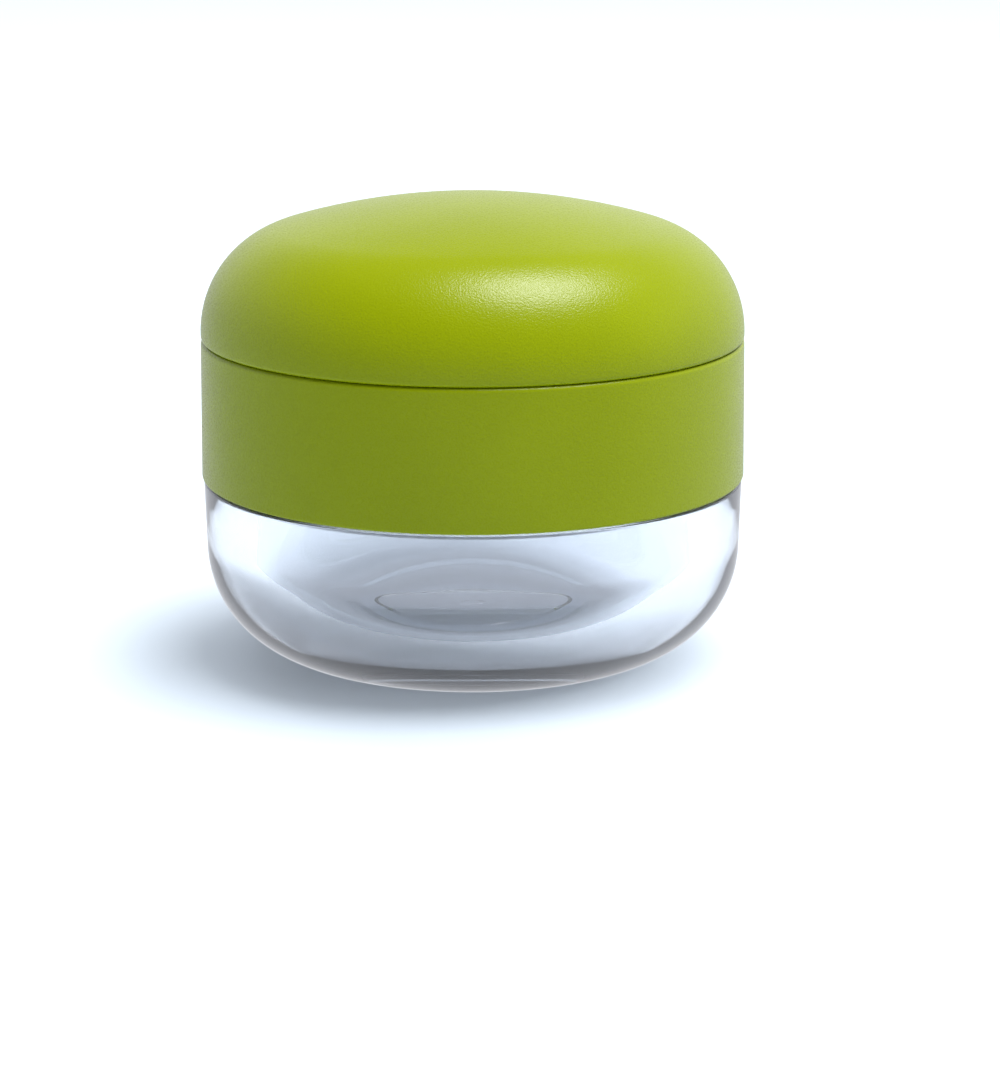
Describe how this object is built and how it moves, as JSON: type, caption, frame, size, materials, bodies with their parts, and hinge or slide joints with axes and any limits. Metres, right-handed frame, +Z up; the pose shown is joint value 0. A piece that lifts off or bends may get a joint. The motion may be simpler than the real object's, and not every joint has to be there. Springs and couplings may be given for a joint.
{
  "type": "wet palette",
  "caption": "Round pocket wet palette: domed plug-in lid, screwed collar with a sponge tray and palette paper, over a clear water bowl.",
  "frame": {"origin": "centre of the foot, on the table", "axes": "+Z up along the axis of the jar; the tray's two lifting tabs lie along X; the pictured side faces -Y"},
  "size_m": [0.07, 0.07, 0.06],
  "materials": {
    "green_plastic": "satin, finely textured",
    "liner_plastic": "satin",
    "clear_polystyrene": "clear, polished",
    "white_plastic": "satin",
    "silicone": "translucent, matte",
    "sponge": "open fine-pored sponge",
    "paper": "thin, slightly translucent"
  },
  "bodies": {
    "bowl": {"bowl": "clear_polystyrene"},
    "gasket": {"bowl_gasket": "silicone"},
    "collar": {"collar": "green_plastic"},
    "tray": {"sponge_tray": "white_plastic", "sponge": "sponge", "palette_paper": "paper"},
    "hoop": {"paper_hoop": "white_plastic"},
    "lid": {"lid_shell": "green_plastic", "lid_liner": "liner_plastic", "lid_seal": "silicone"}
  },
  "joints": [
    {"name": "collar_lift", "type": "slide", "parent": "bowl", "child": "gasket", "axis": [0, 0, 1], "range_m": [0, 0.0091]},
    {"name": "collar_turn", "type": "hinge", "parent": "gasket", "child": "collar", "pos_m": [0, 0, 0.033], "axis": [0, 0, 1], "range_deg": [0, 540]},
    {"name": "tray_lift", "type": "slide", "parent": "collar", "child": "tray", "axis": [0, 0, 1], "range_m": [0, 0.03]},
    {"name": "hoop_lift", "type": "slide", "parent": "tray", "child": "hoop", "axis": [0, 0, 1], "range_m": [0, 0.015]},
    {"name": "lid_lift", "type": "slide", "parent": "hoop", "child": "lid", "axis": [0, 0, 1], "range_m": [0, 0.045]}
  ],
  "couplings": [
    {"joint": "collar_lift", "follows": "collar_turn", "m_per_rad": 0.00095493}
  ]
}
